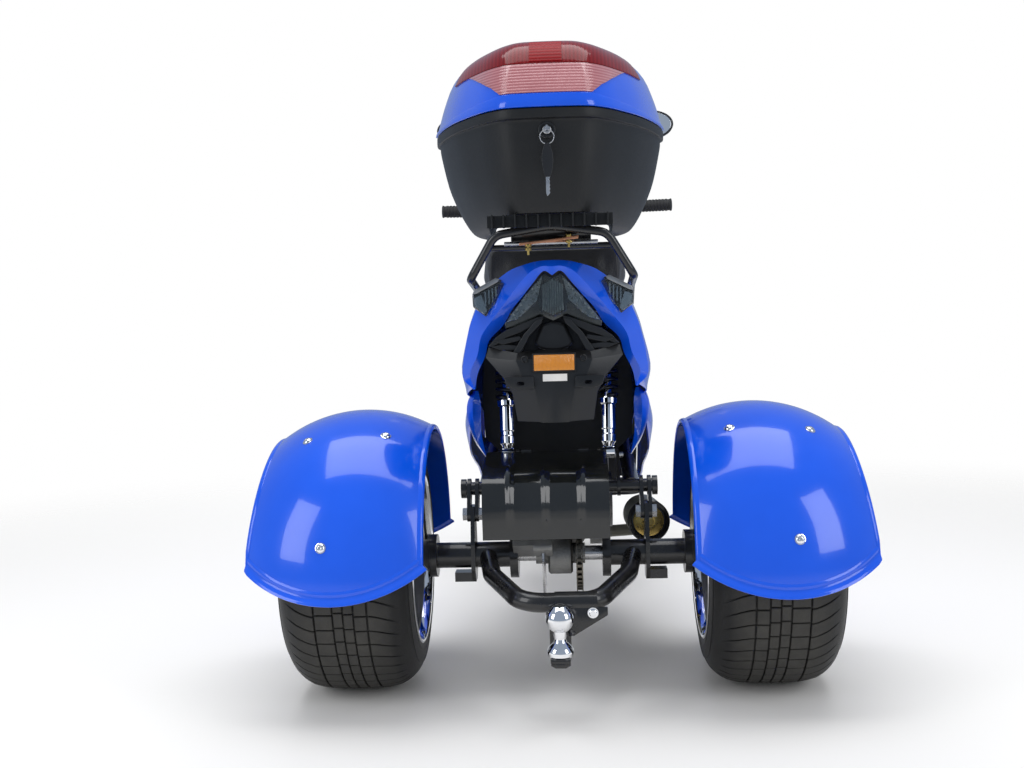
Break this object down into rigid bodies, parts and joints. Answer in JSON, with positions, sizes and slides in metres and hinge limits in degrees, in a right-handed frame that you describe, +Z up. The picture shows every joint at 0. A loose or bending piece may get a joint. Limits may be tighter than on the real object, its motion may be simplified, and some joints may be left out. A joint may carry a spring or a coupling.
{
  "type": "motor trike",
  "caption": "Step-through motor trike with two wide chain-driven rear wheels under crowned fenders, a tow ball, a lockable top case and a sprung saddle body.",
  "frame": {"origin": "on the ground at the centre of the length and the width", "axes": "+X forward, +Y to the rider's left, +Z up"},
  "size_m": [1.989, 1.145, 1.2699],
  "materials": {
    "blue_plastic": "deep gloss",
    "frame_black": "satin black paint",
    "guard_paint": "gloss dark grey paint",
    "black_plastic": "fine grained",
    "chrome": "polished",
    "steel": "machined",
    "alloy": "cast and machined",
    "engine_alloy": "rough cast",
    "tyre": "matt",
    "chain_steel": "oiled",
    "exhaust_steel": "satin heat paint",
    "grip_rubber": "matt",
    "seat_leather": "grained vinyl",
    "red_lens": "clear tinted",
    "smoke_lens": "smoked clear",
    "clear_lens": "clear",
    "amber": "prismatic"
  },
  "bodies": {
    "chassis": {"frame": "frame_black", "axle_housing": "frame_black", "swing_frame": "frame_black", "carriage_bolts": "steel", "hitch_hoop": "frame_black", "hitch_plate": "frame_black", "tow_ball": "chrome", "rear_guard": "guard_paint", "rear_caliper": "engine_alloy", "drive_chain": "chain_steel", "engine": "engine_alloy", "exhaust": "exhaust_steel", "shocks": "chrome", "shock_springs": "frame_black", "tail_fairing": "blue_plastic", "plate_carrier": "black_plastic", "reflector": "amber", "tail_light": "smoke_lens", "turn_signals": "smoke_lens", "rear_rack": "frame_black", "case_bottom": "black_plastic", "case_key": "steel", "floorboard": "black_plastic", "leg_shield": "black_plastic", "side_skirts": "blue_plastic", "seat_front_cover": "black_plastic", "front_apron": "blue_plastic", "headlight": "clear_lens", "seat_bucket": "black_plastic", "rear_fender_left": "blue_plastic", "rear_fender_right": "blue_plastic", "fender_stay_left": "frame_black", "fender_stay_right": "frame_black", "fender_bolts": "chrome"},
    "steering": {"fork": "frame_black", "handlebar": "frame_black", "grips": "grip_rubber", "brake_levers": "frame_black", "headset_cowl": "black_plastic", "front_fender": "blue_plastic", "front_caliper": "engine_alloy", "mirrors": "black_plastic"},
    "front_wheel": {"front_rim": "alloy", "front_tyre": "tyre", "front_brake_disc": "steel"},
    "rear_wheel_left": {"rear_tyre_left": "tyre", "rear_rim_left": "alloy", "rear_hub_left": "steel"},
    "rear_wheel_right": {"rear_tyre_right": "tyre", "rear_rim_right": "alloy", "rear_hub_right": "steel"},
    "differential": {"differential": "engine_alloy", "rear_brake_disc": "steel", "rear_sprocket": "chain_steel"},
    "top_lid": {"case_lid": "blue_plastic", "case_lens": "red_lens"},
    "seat": {"seat_base": "black_plastic", "seat_cushion": "seat_leather"}
  },
  "joints": [
    {"name": "steer", "type": "hinge", "parent": "chassis", "child": "steering", "pos_m": [0.52155, 0, 0.61251], "axis": [-0.454, 0, 0.891], "range_deg": [-38, 38]},
    {"name": "front_wheel_spin", "type": "hinge", "parent": "steering", "child": "front_wheel", "pos_m": [0.7435, 0, 0.243], "axis": [0, 1, 0], "continuous": true},
    {"name": "rear_left_spin", "type": "hinge", "parent": "chassis", "child": "rear_wheel_left", "pos_m": [-0.6565, 0.395, 0.254], "axis": [0, 1, 0], "continuous": true},
    {"name": "rear_right_spin", "type": "hinge", "parent": "chassis", "child": "rear_wheel_right", "pos_m": [-0.6565, -0.395, 0.254], "axis": [0, 1, 0], "continuous": true},
    {"name": "differential_spin", "type": "hinge", "parent": "chassis", "child": "differential", "pos_m": [-0.6565, 0, 0.254], "axis": [0, 1, 0], "continuous": true},
    {"name": "lid_hinge", "type": "hinge", "parent": "chassis", "child": "top_lid", "pos_m": [-0.5665, 0, 1.066], "axis": [0, 1, 0], "range_deg": [0, 75]},
    {"name": "seat_hinge", "type": "hinge", "parent": "chassis", "child": "seat", "pos_m": [0.0595, 0, 0.69], "axis": [0, 1, 0], "range_deg": [0, 55]}
  ]
}
